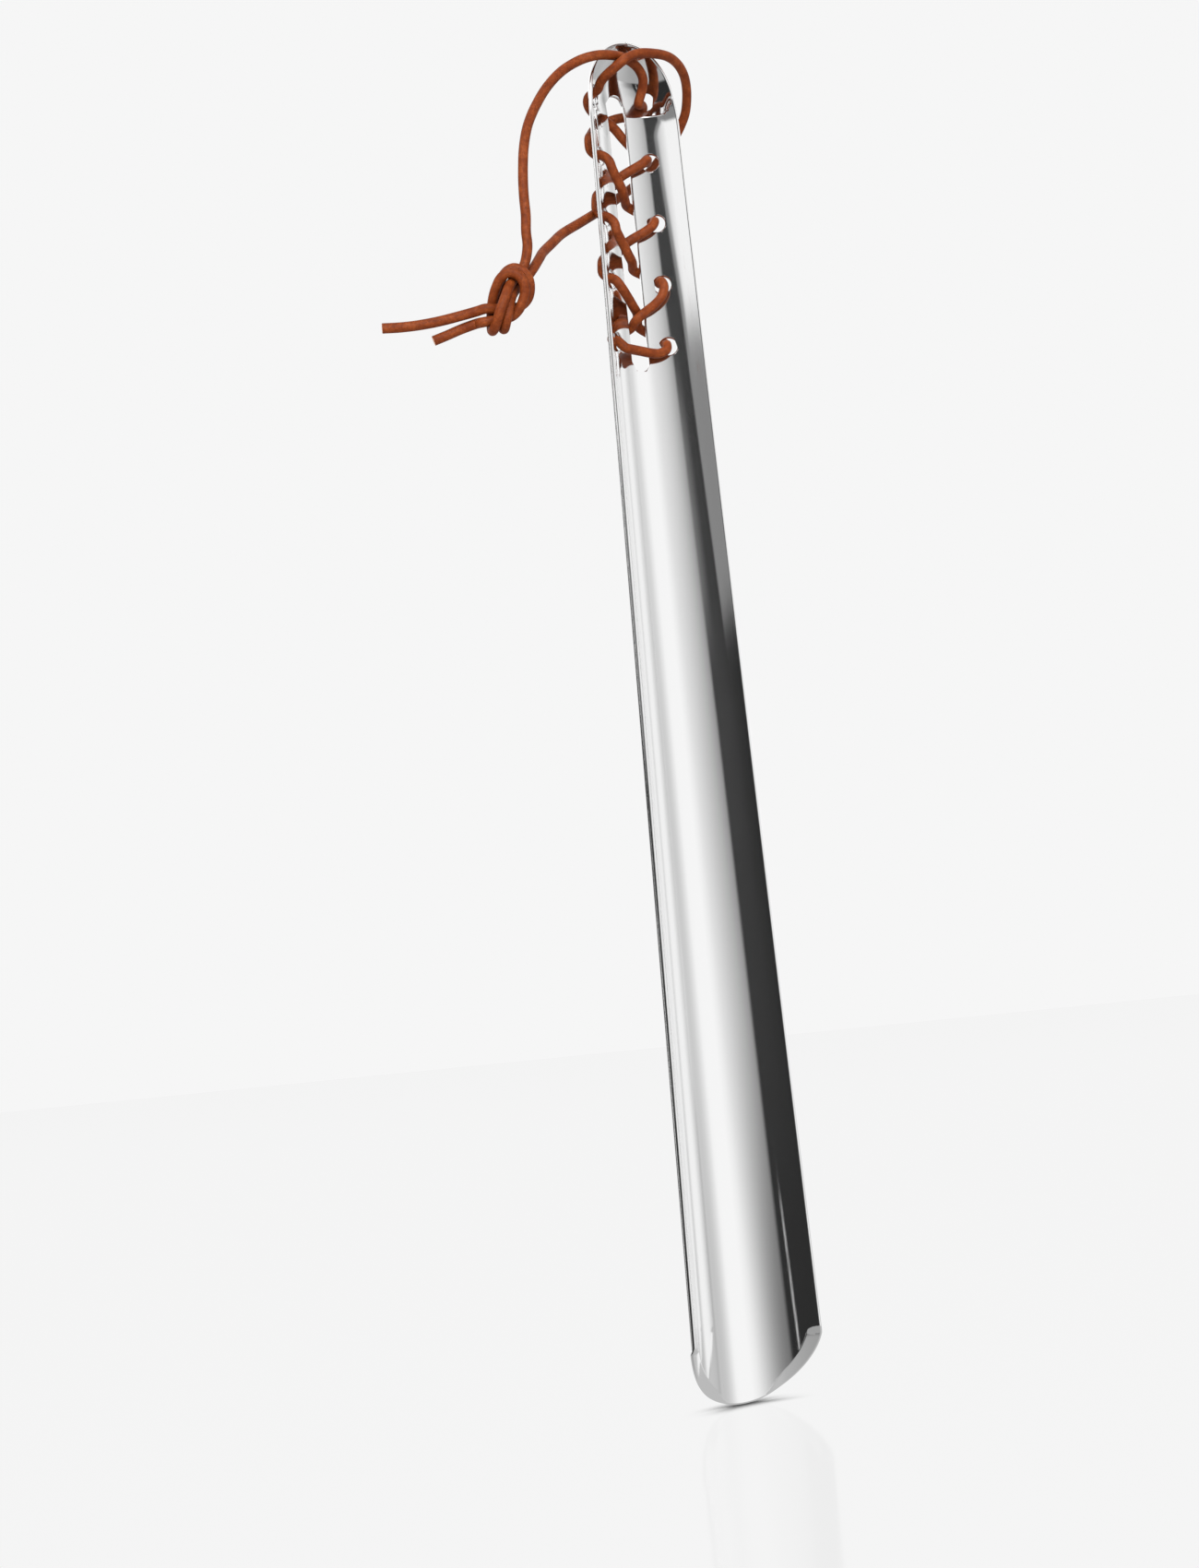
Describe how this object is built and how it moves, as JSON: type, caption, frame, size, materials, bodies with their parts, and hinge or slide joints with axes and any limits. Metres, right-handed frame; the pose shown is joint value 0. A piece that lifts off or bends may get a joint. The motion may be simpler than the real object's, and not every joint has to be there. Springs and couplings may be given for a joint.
{
  "type": "long shoehorn",
  "caption": "Long shoehorn: a pressed steel trough with a flared, rounded tip, a dished end and a slotted handle laced with round leather cord that ends in a knotted loop.",
  "frame": {"origin": "middle of the laced grip, in the plane of the trough's two long edges and halfway between them", "axes": "+Z along the trough from the tip up to the handle's end, -Y out of the trough's open side, +Y through its back"},
  "size_m": [0.1177, 0.0285, 0.42],
  "materials": {
    "steel": "polished stainless steel",
    "leather": "smooth, waxed reddish brown"
  },
  "bodies": {
    "root": {"steel_body": "steel", "grip_lace": "leather", "loop_strand_right": "leather", "loop_strand_left": "leather", "loop_knot": "leather", "lace_tail_long": "leather", "lace_tail_short": "leather"}
  },
  "joints": []
}
